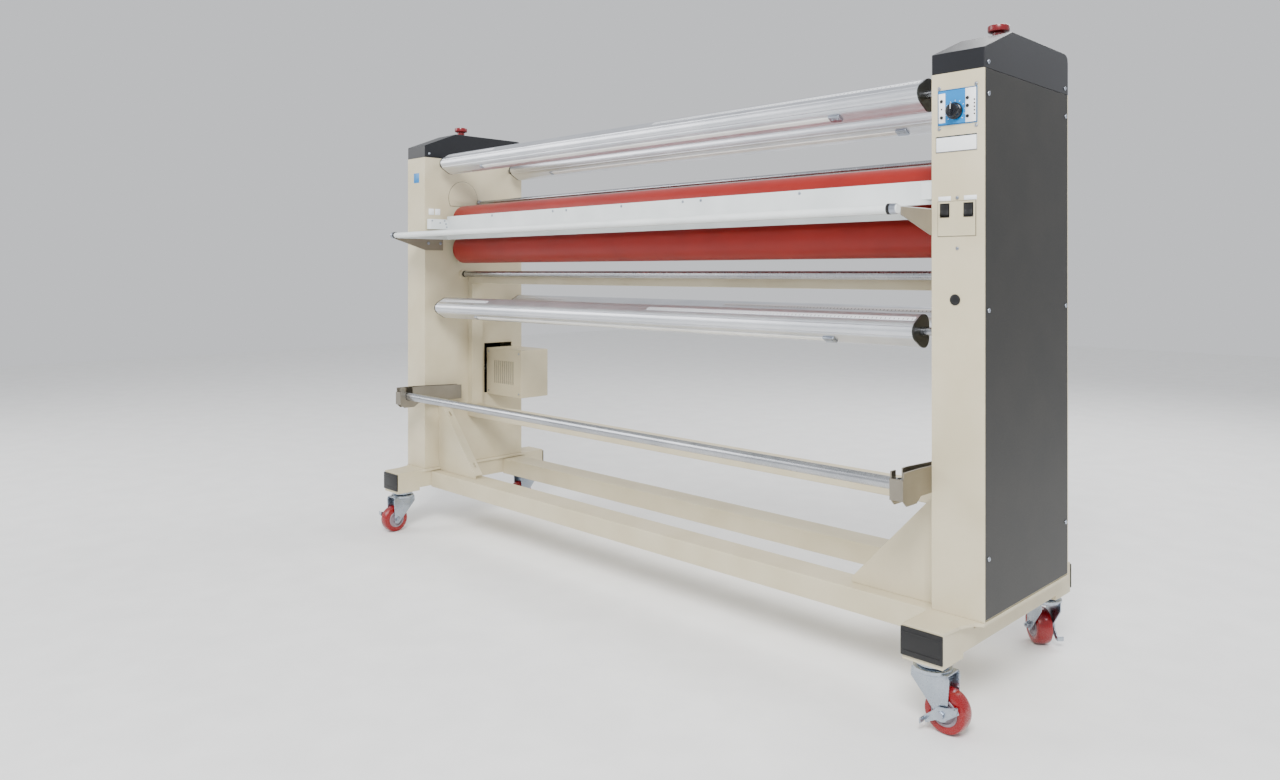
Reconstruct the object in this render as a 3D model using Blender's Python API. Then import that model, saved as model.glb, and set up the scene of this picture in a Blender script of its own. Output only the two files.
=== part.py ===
"""Wide roll laminator on casters: two sheet-metal end towers joined by tubes and beams, a pair of
silicone nip rollers, four core shafts for film rolls, a feed table with a nip guard, guide bars,
a drive motor under a vented cover, and a front control panel.

Metres, +Z up. +X is to the operator's right, -Y is the side that material is fed from. The origin is
on the floor under the middle of the machine. Every sub-part hangs from one empty that stands at the
bottom of the towers, half way between them and level with their front faces, so all the sizes below
are measured from there.
"""

import math

import bmesh
import bpy
from mathutils import Matrix, Vector

# Driving dimensions
TOWER_FRONT_Y = -0.1939  # world Y of the towers' front faces, which centres the machine on its origin
HALF_LENGTH = 1.0  # half of the width over the towers
TOWER_WIDTH = 0.105
TOWER_DEPTH = 0.395
TOWER_HEIGHT = 1.02
SHEET = 0.003
WALL = 0.004  # the towers' inner walls, which carry the rollers
GAP = 0.0003  # clearance between two pieces that touch

PLATE_THICK = 0.006  # the feet's top plates
FOOT_HEIGHT = 0.050
PAD_THICK = 0.010
CASTER_HEIGHT = 0.125
BASE_Z = CASTER_HEIGHT + PAD_THICK + FOOT_HEIGHT + PLATE_THICK  # towers' bottom above the floor
FOOT_X = (0.890, 0.970)
FOOT_Y = (-0.102, 0.487)
SWIVEL_X = 0.930
SWIVEL_FRONT_Y = -0.062
SWIVEL_REAR_Y = 0.447

WHEEL_RADIUS = 0.040
WHEEL_HALF_WIDTH = 0.017
TRAIL = 0.030  # from swivel axis to axle
AXLE_Z = WHEEL_RADIUS - CASTER_HEIGHT  # below the pad

NIP_Y = 0.140
UPPER_Z = 0.817
LOWER_Z = 0.721
ROLLER_RADIUS = 0.0478
CORE_RADIUS = 0.040
JOURNAL_RADIUS = 0.015
LIFT_TRAVEL = 0.028

CORE_SHAFTS = {  # name: (Y, Z) of each film core shaft
    "upper_front_core_shaft": (0.065, 0.998),
    "upper_rear_core_shaft": (0.345, 0.998),
    "lower_front_core_shaft": (0.045, 0.527),
    "lower_rear_core_shaft": (0.345, 0.530),
}
PIN_RADIUS = 0.008
RIDGE_RADIUS = 0.036  # the core shafts, over a ridge and over the middle of a flank
FLANK_RADIUS = 0.028

IDLER_YZ = (0.147, 0.637)
IDLER_RADIUS = 0.0098
GUIDE_YZ = (-0.075, 0.246)
GUIDE_RADIUS = 0.012
GUSSET_TOP = 0.218
GUARD_YZ = (0.020, 0.800)  # the nip guard's pivot
MOTOR_YZ = (0.300, 0.305)
SPROCKET_X = (-0.957, -0.949)
ROLLER_TEETH = 22
MOTOR_TEETH = 11
CHAIN_PITCH = 0.0127

STOP_Y = 0.175
PANEL_BUTTONS = {  # name: (X, Z)
    "start_button": (0.9165, 0.967),
    "stop_button": (0.9165, 0.936),
    "up_button": (0.9680, 0.968),
    "down_button": (0.9680, 0.9535),
    "mode_button": (0.9680, 0.934),
}
ROCKERS = {"heater_rocker": (0.9140, 0.9310), "power_rocker": (0.9610, 0.9780)}  # name: X from, to
KNOB_XZ = (0.9435, 0.946)

INNER = HALF_LENGTH - TOWER_WIDTH  # X of the towers' inner walls
CREAM = ("cream_powder_coat", "D8D3C5", 0.45, 0.0)
DARK = ("dark_powder_coat", "45443F", 0.55, 0.0)
WHITE = ("white_powder_coat", "E3E8E8", 0.4, 0.0)
SILICONE = ("red_silicone", "B0392B", 0.5, 0.0)
STEEL = ("turned_steel", "B9BABD", 0.3, 1.0)
ALUMINIUM = ("extruded_aluminium", "C9CBD3", 0.35, 1.0)
ZINC = ("zinc_plated_steel", "B4BABD", 0.35, 1.0)
POLYURETHANE = ("red_polyurethane", "A00A10", 0.3, 0.0)
BRACKET = ("grey_bracket_paint", "9C9285", 0.5, 0.0)
STOP_RED = ("red_stop_button", "8E0F1E", 0.35, 0.0)
BLACK = ("black_plastic", "14161A", 0.4, 0.0)
OVERLAY = ("blue_overlay", "2F9BD3", 0.35, 0.0)
SWITCH_GREY = ("grey_switch_plate", "C9C6BC", 0.4, 0.0)
CAST = ("motor_casting", "5A5E60", 0.5, 0.3)


def clear_scene():
    """Empties the scene."""
    for old in list(bpy.data.objects):
        bpy.data.objects.remove(old)


def material(finish):
    """One Principled material per finish, made on first use."""
    name, colour, roughness, metallic = finish
    found = bpy.data.materials.get(name)
    if found:
        return found
    made = bpy.data.materials.new(name)
    made.use_nodes = True
    shader = made.node_tree.nodes["Principled BSDF"]
    srgb = [int(colour[i : i + 2], 16) / 255 for i in (0, 2, 4)]
    linear = [c / 12.92 if c <= 0.04045 else ((c + 0.055) / 1.055) ** 2.4 for c in srgb]
    shader.inputs["Base Color"].default_value = (*linear, 1.0)
    shader.inputs["Roughness"].default_value = roughness
    shader.inputs["Metallic"].default_value = metallic
    return made


def box(x, y, z):
    """A cuboid between the two X, the two Y and the two Z values."""
    bm = bmesh.new()
    low = Vector((min(x), min(y), min(z)))
    high = Vector((max(x), max(y), max(z)))
    place = Matrix.Translation((low + high) / 2) @ Matrix.Diagonal((*(high - low), 1.0))
    bmesh.ops.create_cube(bm, size=1.0, matrix=place)
    return bm


def prism(axis, outline, start, end):
    """An outline extruded along X, Y or Z. Its points are on the other two axes, in X, Y, Z order."""
    bm = bmesh.new()
    index = "XYZ".index(axis)
    corners = []
    for first, second in outline:
        point = [first, second]
        point.insert(index, min(start, end))
        corners.append(bm.verts.new(point))
    face = bm.faces.new(corners)
    moved = bmesh.ops.extrude_face_region(bm, geom=[face])["geom"]
    along = [0.0, 0.0, 0.0]
    along[index] = abs(end - start)
    verts = [v for v in moved if isinstance(v, bmesh.types.BMVert)]
    bmesh.ops.translate(bm, verts=verts, vec=along)
    bmesh.ops.recalc_face_normals(bm, faces=bm.faces)
    return bm


def circle(centre, radius, count, start=0.0):
    """The corners of a regular polygon round a centre."""
    angles = [start + 2 * math.pi * i / count for i in range(count)]
    return [(centre[0] + radius * math.cos(a), centre[1] + radius * math.sin(a)) for a in angles]


def rod(axis, centre, radius, start, end, count=16):
    """A round bar along an axis."""
    return prism(axis, circle(centre, radius, count), start, end)


def turned(axis, centre, profile, count=24, ring=False):
    """A profile of (radius, place along the axis) spun round an axis through centre. A profile that
    isn't a ring starts and ends on the axis."""
    bm = bmesh.new()
    index = "XYZ".index(axis)
    side = (index + 1) % 3
    verts = []
    for radius, along in profile:
        point = Vector(centre)
        point[index] += along
        point[side] += radius
        verts.append(bm.verts.new(point))
    edges = [bm.edges.new(pair) for pair in zip(verts, verts[1:])]
    if ring:
        edges.append(bm.edges.new((verts[-1], verts[0])))
    turn = Vector((0, 0, 0))
    turn[index] = 1.0
    bmesh.ops.spin(bm, geom=verts + edges, cent=centre, axis=turn, angle=2 * math.pi, steps=count)
    bmesh.ops.remove_doubles(bm, verts=bm.verts, dist=0.00002)
    bmesh.ops.recalc_face_normals(bm, faces=bm.faces)
    return bm


def gear_outline(centre, teeth):
    """A chain sprocket's outline: rounded gaps between short teeth, for the chain's pitch."""
    pitch_radius = CHAIN_PITCH / (2 * math.sin(math.pi / teeth))
    points = []
    for tooth in range(teeth):
        for part, reach in ((0.0, -0.004), (0.35, 0.001), (0.5, 0.003), (0.65, 0.001)):
            angle = 2 * math.pi * (tooth + part) / teeth
            radius = pitch_radius + reach
            points.append((centre[0] + radius * math.cos(angle), centre[1] + radius * math.sin(angle)))
    return points


def object_from(name, bm, origin, parent):
    """An object whose mesh is the given shape, with its origin at the given place."""
    bmesh.ops.translate(bm, verts=bm.verts, vec=-Vector(origin))
    mesh = bpy.data.meshes.new(name)
    bm.to_mesh(mesh)
    bm.free()
    made = bpy.data.objects.new(name, mesh)
    bpy.context.scene.collection.objects.link(made)
    made.parent = parent
    made.location = origin
    return made


def part(name, finish, shapes, cuts=(), origin=(0, 0, 0), parent=None, smooth=False):
    """One sub-part: the first shape, fused with the others, less the cuts."""
    parent = parent or bpy.data.objects["machine"]
    made = object_from(name, shapes[0], origin, parent)
    for kind, operation, tools in (("fuse", "UNION", shapes[1:]), ("cut", "DIFFERENCE", cuts)):
        if not tools:
            continue
        group = bpy.data.collections.new(f"{name}_{kind}")
        bpy.context.scene.collection.children.link(group)
        for number, tool in enumerate(tools):
            helper = object_from(f"{name}_{kind}_{number}", tool, origin, parent)
            bpy.context.scene.collection.objects.unlink(helper)
            group.objects.link(helper)
            helper.hide_render = True
            helper.display_type = "WIRE"
        modifier = made.modifiers.new(kind, "BOOLEAN")
        modifier.operation = operation
        modifier.operand_type = "COLLECTION"
        modifier.collection = group
        modifier.solver = "EXACT"
    if smooth:
        made.data.shade_smooth()
        made.data.set_sharp_from_angle(angle=math.radians(35))
    made.data.materials.append(material(finish))
    return made


def empty(name, place, parent=None):
    """A place that sub-parts hang from."""
    made = bpy.data.objects.new(name, None)
    bpy.context.scene.collection.objects.link(made)
    made.parent = parent
    made.location = place
    return made


# Towers


def tower_frame(name, side):
    """A folded steel channel with its open side outwards: inner wall, front, rear, floor, lips for the
    side cover's and the cap's screws, the lower roller's bearing housing, and rails for the lift block."""
    x_in = side * INNER
    x_wall = side * (INNER + WALL)
    x_out = side * HALF_LENGTH
    x_lip = side * (HALF_LENGTH - 0.0025)
    x_lip_back = side * (HALF_LENGTH - 0.0055)
    depth = TOWER_DEPTH
    height = TOWER_HEIGHT
    shapes = [
        box((x_in, x_wall), (0, depth), (0, height)),
        box((x_in, x_out), (0, SHEET), (0, height)),
        box((x_in, x_out), (depth - SHEET, depth), (0, height)),
        box((x_in, x_lip), (0, depth), (0, SHEET)),
        box((x_lip, x_lip_back), (0, 0.018), (0, height)),
        box((x_lip, x_lip_back), (depth - 0.018, depth), (0, height)),
        box((x_lip, x_lip_back), (0, depth), (0, 0.018)),
    ]
    for y_tab in ((0.012, 0.040), (depth - 0.040, depth - 0.012)):
        shapes.append(box((x_lip, x_lip_back), y_tab, (height - 0.030, height + 0.022)))
        shapes.append(box((side * 0.8975, side * 0.9005), y_tab, (height - 0.030, height + 0.022)))
    shapes.append(rod("X", (NIP_Y, LOWER_Z), 0.034, x_wall - side * 0.001, side * 0.921, 16))
    x_rail = (x_wall - side * 0.001, side * 0.925)
    for y_rail in ((NIP_Y - 0.0365, NIP_Y - 0.0305), (NIP_Y + 0.0305, NIP_Y + 0.0365)):
        shapes.append(box(x_rail, y_rail, (0.780, 0.900)))
    shapes.append(box(x_rail, (NIP_Y - 0.0365, NIP_Y + 0.0365), (0.893, 0.900)))
    shapes.append(rod("X", IDLER_YZ, 0.015, side * 0.884, x_in + side * 0.001, 16))

    through = (side * 0.880, side * 0.935)
    in_wall = (side * 0.885, side * 0.9015)
    slot = circle((NIP_Y, UPPER_Z), 0.0165, 16, math.pi)[:9]
    slot += circle((NIP_Y, UPPER_Z + LIFT_TRAVEL), 0.0165, 16)[:9]
    cuts = [
        rod("X", (NIP_Y, LOWER_Z), 0.0158, *through, 16),
        prism("X", slot, *in_wall),
        rod("X", IDLER_YZ, IDLER_RADIUS + 0.0008, *through, 16),
        rod("X", GUARD_YZ, 0.0050, *in_wall, 12),
        rod("Z", (side * 0.914, NIP_Y), 0.0075, 0.885, 0.910, 12),
    ]
    for y_z in CORE_SHAFTS.values():
        cuts.append(rod("X", y_z, PIN_RADIUS + 0.0010, *in_wall, 12))
    if side < 0:
        cuts.append(box(in_wall, (0.235, 0.351), (0.228, 0.398)))
    else:
        for x_z, radius in (((0.9435, 0.946), 0.0045), ((0.9425, 0.592), 0.0090)):
            cuts.append(rod("Y", x_z, radius, -0.01, 0.01, 10))
        for x_z in PANEL_BUTTONS.values():
            cuts.append(rod("Y", x_z, 0.0054, -0.01, 0.01, 8))
        for x_low, x_high in ROCKERS.values():
            cuts.append(box((x_low - 0.001, x_high + 0.001), (-0.01, 0.01), (0.7485, 0.7735)))
    return part(name, CREAM, shapes, cuts)


def side_cover(name, side):
    """A dark flat panel that closes the tower's outer side, with its four edges inside the frame's."""
    x = (side * (HALF_LENGTH - 0.0022), side * HALF_LENGTH)
    y = (SHEET + GAP, TOWER_DEPTH - SHEET - GAP)
    return part(name, DARK, [box(x, y, (SHEET + GAP, TOWER_HEIGHT - GAP))])


def cap_outline(inset):
    """The cap's side outline in Y and Z: low front, sloping up to a level roof, round rear corner."""
    depth = TOWER_DEPTH
    roof = 0.086 - inset
    radius = 0.018 - inset
    corner_y = depth - 0.018
    corner_z = 0.086 - 0.018
    points = [(inset, 0.0), (inset, 0.038 - 0.6 * inset), (0.120, roof)]
    for step in range(5):
        angle = math.pi / 2 - step * math.pi / 8
        points.append((corner_y + radius * math.cos(angle), corner_z + radius * math.sin(angle)))
    points.append((depth - inset, 0.0))
    return [(y, z + TOWER_HEIGHT + GAP) for y, z in points]


def top_cap(name, side):
    """A folded cap over the tower's open top, hollow underneath, with a hole for the stop button."""
    inner = [(y, z - 0.001 if z < TOWER_HEIGHT + 0.01 else z) for y, z in cap_outline(0.002)]
    x_middle = side * (INNER + HALF_LENGTH) / 2
    shapes = [prism("X", cap_outline(0.0), side * INNER, side * HALF_LENGTH)]
    hollow = prism("X", inner, side * (INNER + 0.002), side * (HALF_LENGTH - 0.002))
    hole = rod("Z", (x_middle, STOP_Y), 0.0095, TOWER_HEIGHT + 0.05, TOWER_HEIGHT + 0.10)
    return part(name, DARK, shapes, [hollow, hole])


def stop_button(name, side):
    """A mushroom emergency-stop button: wide domed head on a round stem that goes through the cap."""
    roof = TOWER_HEIGHT + GAP + 0.086
    x_middle = side * (INNER + HALF_LENGTH) / 2
    profile = [
        (0, -0.020),
        (0.0080, -0.020),
        (0.0080, 0.012),
        (0.0190, 0.0140),
        (0.0210, 0.017),
        (0.0210, 0.025),
        (0.0140, 0.031),
        (0, 0.032),
    ]
    shape = turned("Z", (x_middle, STOP_Y, roof), profile, 16)
    return part(name, STOP_RED, [shape], origin=(x_middle, STOP_Y, roof), smooth=True)


# Base


def foot(name, side):
    """A rectangular tube along Y with a welded top plate that widens under the tower, a thick pad
    under each end for the casters, and slots in its outer side for the base beams' bolts."""
    top = -PLATE_THICK
    bottom = top - FOOT_HEIGHT
    x_tube = [side * x for x in FOOT_X]
    plate = [
        (0.890, FOOT_Y[0]),
        (0.970, FOOT_Y[0]),
        (0.974, -0.045),
        (0.986, -0.012),
        (1.000, -0.002),
        (1.000, 0.397),
        (0.986, 0.407),
        (0.974, 0.440),
        (0.970, FOOT_Y[1]),
        (0.890, FOOT_Y[1]),
        (0.890, 0.410),
        (0.885, 0.400),
        (0.885, -0.005),
        (0.890, -0.015),
    ]
    shapes = [
        box(x_tube, FOOT_Y, (bottom, top)),
        prism("Z", [(side * x, y) for x, y in plate], top - 0.001, -GAP),
    ]
    for swivel_y in (SWIVEL_FRONT_Y, SWIVEL_REAR_Y):
        pad_y = (swivel_y - 0.040, swivel_y + 0.040)
        shapes.append(box(x_tube, pad_y, (bottom + 0.001, bottom - PAD_THICK)))
    hollow_x = [side * (FOOT_X[0] + SHEET), side * (FOOT_X[1] - SHEET)]
    cuts = [box(hollow_x, (FOOT_Y[0] - 0.01, FOOT_Y[1] + 0.01), (bottom + SHEET, top - SHEET))]
    for slot_y in (0.025, 0.085, 0.315, 0.375):
        x_slot = (side * 0.960, side * 0.980)
        cuts.append(box(x_slot, (slot_y - 0.005, slot_y + 0.005), (-0.022, -0.008)))
    return part(name, CREAM, shapes, cuts)


def base_beam(name, y_low, y_high):
    """A rectangular tube between the two feet."""
    z = (-0.060, -0.010)
    half = FOOT_X[0] - GAP
    outer = box((-half, half), (y_low, y_high), z)
    inner = box((-1, 1), (y_low + SHEET, y_high - SHEET), (z[0] + SHEET, z[1] - SHEET))
    return part(name, CREAM, [outer], [inner])


def gusset(name, side):
    """A triangular corner plate between a tower's inner wall and the front beam. Its sloping edge is
    folded back into a flange with two slots."""
    wall_x = INNER - GAP
    bottom = -0.010 + GAP
    plate = [(wall_x, GUSSET_TOP), (wall_x, 0.022), (wall_x - 0.016, bottom), (0.685, bottom)]
    plate += [(0.685, 0.001), (wall_x - 0.010, GUSSET_TOP)]
    slope = Vector((wall_x - 0.010 - 0.685, 0, GUSSET_TOP - 0.001))
    along = slope.normalized()
    inwards = Vector((along.z, 0, -along.x)) * 0.003
    low = Vector((0.685, 0, 0.001))
    high = low + slope
    flange = [(p.x, p.z) for p in (low, high, high + inwards, low + inwards)]
    shapes = [
        prism("Y", [(side * x, z) for x, z in plate], 0.052, 0.055),
        prism("Y", [(side * x, z) for x, z in flange], 0.052, 0.080),
    ]
    cuts = []
    for share in (0.13, 0.82):
        middle = low + slope * share
        reach = along * 0.009
        drop = Vector((along.z, 0, -along.x)) * 0.006
        corners = [middle + a * reach + b * drop for a, b in ((-1, -1), (1, -1), (1, 1), (-1, 1))]
        cuts.append(prism("Y", [(side * c.x, c.z) for c in corners], 0.064, 0.070))
    return part(name, CREAM, shapes, cuts)


# Casters


def caster(place, x, y, heading):
    """A braked swivel caster: race and fork with its axle, wheel, and a side brake lever. The fork
    turns on the swivel axis, the wheel and the lever on the axle."""
    pad_z = -PLATE_THICK - FOOT_HEIGHT - PAD_THICK
    swivel = empty(f"{place}_swivel", (x, y, pad_z), bpy.data.objects["machine"])
    swivel.rotation_euler = (0, 0, math.radians(heading))
    race = [
        (0, -GAP),
        (0.031, -GAP),
        (0.031, -0.008),
        (0.022, -0.010),
        (0.0355, -0.0135),
        (0.0355, -0.020),
        (0, -0.020),
    ]
    leg = [
        (-0.030, -0.0155),
        (0.040, -0.0155),
        (0.043, -0.022),
        (0.041, AXLE_Z),
        (0.037, AXLE_Z - 0.008),
        (0.029, AXLE_Z - 0.011),
        (0.021, AXLE_Z - 0.007),
        (-0.032, -0.034),
    ]
    axle = (TRAIL, AXLE_Z)
    shapes = [
        turned("Z", (0, 0, 0), race, 16),
        box((0.0, 0.0385), (-0.0213, 0.0213), (-0.0145, -0.0172)),
        prism("Y", leg, -0.0225, -0.0200),
        prism("Y", leg, 0.0200, 0.0225),
        rod("Y", axle, 0.0040, -0.033, 0.0280, 8),
        rod("Y", axle, 0.0075, 0.0215, 0.0290, 6),
        rod("Y", axle, 0.0075, -0.0340, -0.0280, 6),
    ]
    part(f"{place}_caster_fork", ZINC, shapes, parent=swivel)
    tread = [
        (0.0050, -WHEEL_HALF_WIDTH),
        (0.0360, -WHEEL_HALF_WIDTH),
        (WHEEL_RADIUS, -0.0120),
        (WHEEL_RADIUS, 0.0120),
        (0.0360, WHEEL_HALF_WIDTH),
        (0.0050, WHEEL_HALF_WIDTH),
    ]
    centre = (TRAIL, 0, AXLE_Z)
    wheel = turned("Y", centre, tread, 24, ring=True)
    part(f"{place}_caster_wheel", POLYURETHANE, [wheel], origin=centre, parent=swivel, smooth=True)
    lever = [
        (-0.036, -0.014),
        (-0.030, -0.024),
        (-0.008, -0.011),
        (0.006, -0.012),
        (0.020, 0.002),
        (0.034, 0.010),
        (0.030, 0.022),
        (0.008, 0.016),
        (-0.010, 0.010),
    ]
    plate = prism("Y", [(TRAIL + t, AXLE_Z + z) for t, z in lever], -0.0275, -0.0250)
    tab_low = box((TRAIL - 0.036, TRAIL - 0.031), (-0.0400, -0.0260), (AXLE_Z - 0.022, AXLE_Z - 0.014))
    tab_high = box((TRAIL + 0.029, TRAIL + 0.033), (-0.0400, -0.0260), (AXLE_Z + 0.011, AXLE_Z + 0.021))
    bore = rod("Y", axle, 0.0050, -0.030, -0.020, 8)
    part(f"{place}_brake_lever", ZINC, [plate, tab_low, tab_high], [bore], centre, swivel)


# Cross members


def cross_tube(name, z_low):
    """A square tube between the towers' inner walls, behind the rollers."""
    z = (z_low, z_low + 0.040)
    y = (0.168, 0.210)
    wall = 0.0025
    outer = box((-(INNER - GAP), INNER - GAP), y, z)
    inner = box((-1, 1), (y[0] + wall, y[1] - wall), (z[0] + wall, z[1] - wall))
    return part(name, CREAM, [outer], [inner])


def wall_channel():
    """A U channel on the left inner wall between the two cross tubes, which covers the wiring."""
    x_wall = -(INNER - GAP)
    outline = [
        (x_wall, 0.168),
        (-0.870, 0.168),
        (-0.870, 0.210),
        (x_wall, 0.210),
        (x_wall, 0.208),
        (-0.872, 0.208),
        (-0.872, 0.170),
        (x_wall, 0.170),
    ]
    return part("wall_channel", CREAM, [prism("Z", outline, 0.195 + GAP, 0.605 - GAP)])


def motor_cover():
    """A sheet box on the left inner wall over the motor, open towards the wall, with a row of upright
    vent slots in its front."""
    x_wall = -(INNER - GAP)
    x_end = -0.702
    y = (0.245, 0.358)
    z = (0.225, 0.383)
    wall = 0.002
    outer = box((x_wall, x_end), y, z)
    hollow = box((x_wall - 0.01, x_end - wall), (y[0] + wall, y[1] - wall), (z[0] + wall, z[1] - wall))
    cuts = [hollow]
    for number in range(10):
        x_slot = x_end - 0.045 - 0.0113 * number
        cuts.append(box((x_slot - 0.0021, x_slot + 0.0021), (0.235, 0.250), (0.265, 0.343)))
    return part("motor_cover", CREAM, [outer], cuts)


# Drive


def drive_motor():
    """A gear motor: finned round body and a square gearbox, on a flange against the wall."""
    y, z = MOTOR_YZ
    shapes = [
        rod("X", MOTOR_YZ, 0.040, -0.715, -0.830, 24),
        box((-0.828, -0.876), (y - 0.042, y + 0.042), (z - 0.042, z + 0.042)),
        box((-0.874, -0.880), (y - 0.050, y + 0.050), (z - 0.060, z + 0.060)),
    ]
    bore = rod("X", MOTOR_YZ, 0.0090, -0.845, -0.90, 16)
    return part("drive_motor", CAST, shapes, [bore])


def motor_sprocket():
    """The motor's output shaft with its small chain sprocket, inside the left tower."""
    outline = gear_outline(MOTOR_YZ, MOTOR_TEETH)
    shapes = [
        prism("X", outline, *SPROCKET_X),
        rod("X", MOTOR_YZ, 0.013, -0.950, -0.935, 16),
        rod("X", MOTOR_YZ, 0.0080, -0.966, -0.850, 16),
    ]
    return part("motor_sprocket", STEEL, shapes, origin=(0, *MOTOR_YZ))


# Rollers


def roller_shaft(name, z, driven):
    """A roller's steel core with a journal at each end. The lower one carries the driven sprocket."""
    centre = (NIP_Y, z)
    left_end = -0.966 if driven else -0.927
    shapes = [
        rod("X", centre, CORE_RADIUS, -0.8765, 0.8765, 24),
        rod("X", centre, JOURNAL_RADIUS, left_end, 0.927, 16),
    ]
    if driven:
        shapes.append(prism("X", gear_outline(centre, ROLLER_TEETH), *SPROCKET_X))
    return part(name, STEEL, shapes, origin=(0, NIP_Y, z), smooth=True)


def roller_sleeve(name, z):
    """The silicone cover of a roller."""
    ends = (-0.8735, 0.8735)
    bore = CORE_RADIUS + 2 * GAP
    profile = [(bore, ends[0]), (ROLLER_RADIUS, ends[0]), (ROLLER_RADIUS, ends[1]), (bore, ends[1])]
    origin = (0, NIP_Y, z)
    shape = turned("X", origin, profile, 32, ring=True)
    return part(name, SILICONE, [shape], origin=origin, smooth=True)


def lift_block(name, side):
    """The bearing block that carries an end of the upper roller and slides up between two rails, with
    its pressure rod through the bridge above it."""
    x_block = (side * 0.9035, side * 0.9245)
    shapes = [
        box(x_block, (NIP_Y - 0.030, NIP_Y + 0.030), (UPPER_Z - 0.028, UPPER_Z + 0.028)),
        rod("Z", (side * 0.914, NIP_Y), 0.0060, UPPER_Z + 0.020, UPPER_Z + 0.110, 12),
    ]
    bore = rod("X", (NIP_Y, UPPER_Z), 0.0158, side * 0.890, side * 0.935, 16)
    return part(name, CAST, shapes, [bore], origin=(side * 0.914, NIP_Y, UPPER_Z))


def core_shaft(name, y_z):
    """An expanding shaft for a film core: an aluminium profile with three ridges, of which one faces
    the front, and three slightly hollow flanks, with a pin at each end."""
    y, z = y_z
    outline = []
    mean = (RIDGE_RADIUS + FLANK_RADIUS) / 2
    for step in range(24):
        angle = 2 * math.pi * step / 24
        radius = mean + (RIDGE_RADIUS - FLANK_RADIUS) / 2 * math.cos(3 * (angle - math.pi))
        outline.append((y + radius * math.cos(angle), z + radius * math.sin(angle)))
    shapes = [
        prism("X", outline, -0.853, 0.851),
        rod("X", y_z, PIN_RADIUS, -0.912, 0.912, 12),
    ]
    return part(name, ALUMINIUM, shapes, origin=(0, y, z))


# Feed side


def feed_table():
    """The infeed table: a sheet with folded-down edges, welded along a round nose bar."""
    half = INNER - 0.0045
    top = 0.7662
    shapes = [
        box((-half, half), (-0.120, 0.085), (top - 0.0025, top)),
        box((-half, half), (0.0825, 0.085), (top - 0.015, top)),
        rod("X", (-0.120, 0.7600), 0.0083, -(INNER - 0.002), INNER - 0.002, 20),
    ]
    for side in (-1, 1):
        shapes.append(box((side * half, side * (half - 0.0025)), (-0.115, 0.085), (top - 0.015, top)))
    return part("feed_table", WHITE, shapes)


def table_bracket(name, side):
    """A triangular plate on the tower's inner wall that carries an end of the table."""
    outline = [(0.0, 0.715), (0.067, 0.715), (0.067, 0.764), (-0.109, 0.764), (-0.109, 0.749)]
    return part(name, BRACKET, [prism("X", outline, side * 0.8910, side * (INNER - GAP))])


def nip_guard():
    """The nip guard: an upright panel in front of the rollers on two cheek blocks, which tilts up on
    pivot pins in the towers' walls."""
    shapes = [box((-0.872, 0.872), (0.0700, 0.0750), (0.7790, 0.8270))]
    for side in (-1, 1):
        cheek = [(0.006, 0.784), (0.075, 0.784), (0.075, 0.812), (0.066, 0.817), (0.006, 0.817)]
        shapes.append(prism("X", cheek, side * 0.870, side * 0.892))
        shapes.append(rod("X", GUARD_YZ, 0.0042, side * 0.891, side * 0.8985, 12))
    return part("nip_guard", WHITE, shapes, origin=(0, *GUARD_YZ))


def idler_bar():
    """A free-turning steel bar under the lower roller, held in collars on the walls."""
    shape = rod("X", IDLER_YZ, IDLER_RADIUS, -0.8985, 0.8985, 20)
    return part("idler_bar", STEEL, [shape], origin=(0, *IDLER_YZ), smooth=True)


def guide_bar():
    """The low front bar that film or media passes round, lying in its two brackets."""
    y, z = GUIDE_YZ
    shape = rod("X", GUIDE_YZ, GUIDE_RADIUS, -0.890, 0.890, 20)
    return part("lower_guide_bar", STEEL, [shape], origin=(0, y, z), smooth=True)


def bar_bracket(name, side):
    """A folded channel, open at the top, bolted to the tower's wall. The inner side rises at the front
    into a hook with a round-bottomed pocket for the guide bar."""
    y, z = GUIDE_YZ
    x_wall = side * (INNER - GAP)
    x_back = side * (INNER - GAP - 0.003)
    x_side = (side * 0.8667, side * 0.8697)
    outline = [
        (-0.104, 0.222),
        (-0.092, 0.211),
        (-0.056, 0.211),
        (-0.040, 0.222),
        (0.123, 0.222),
        (0.123, 0.268),
        (-0.040, 0.275),
        (-0.104, 0.275),
    ]
    shapes = [
        prism("X", outline, x_wall, x_back),
        prism("X", outline, *x_side),
        box((x_side[0], x_wall), (-0.036, 0.123), (0.222, 0.225)),
        box((x_side[0], x_wall), (-0.107, -0.103), (0.222, 0.262)),
    ]
    radius = GUIDE_RADIUS + 0.0008
    pocket = circle((y, z), radius, 16, math.pi)[:9]
    pocket += [(y + radius, 0.290), (y - radius, 0.290)]
    cut = prism("X", pocket, side * 0.860, side * 0.875)
    return part(name, BRACKET, shapes, [cut])


# Controls, on the right tower's front


def control_panel():
    """The overlay plate with holes for the knob's shaft and the buttons."""
    plate = box((0.9085, 0.9865), (-0.0018, -GAP), (0.921, 0.988))
    cuts = [rod("Y", KNOB_XZ, 0.0045, -0.01, 0.01, 12)]
    cuts += [rod("Y", x_z, 0.0037, -0.01, 0.01, 10) for x_z in PANEL_BUTTONS.values()]
    return part("control_panel", OVERLAY, [plate], cuts)


def switch_plate():
    """The plate round the two rocker switches."""
    plate = box((0.9085, 0.9830), (-0.0018, -GAP), (0.712, 0.777))
    cuts = []
    for x_low, x_high in ROCKERS.values():
        cuts.append(box((x_low - 0.001, x_high + 0.001), (-0.01, 0.01), (0.7485, 0.7735)))
    return part("switch_plate", SWITCH_GREY, [plate], cuts)


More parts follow.
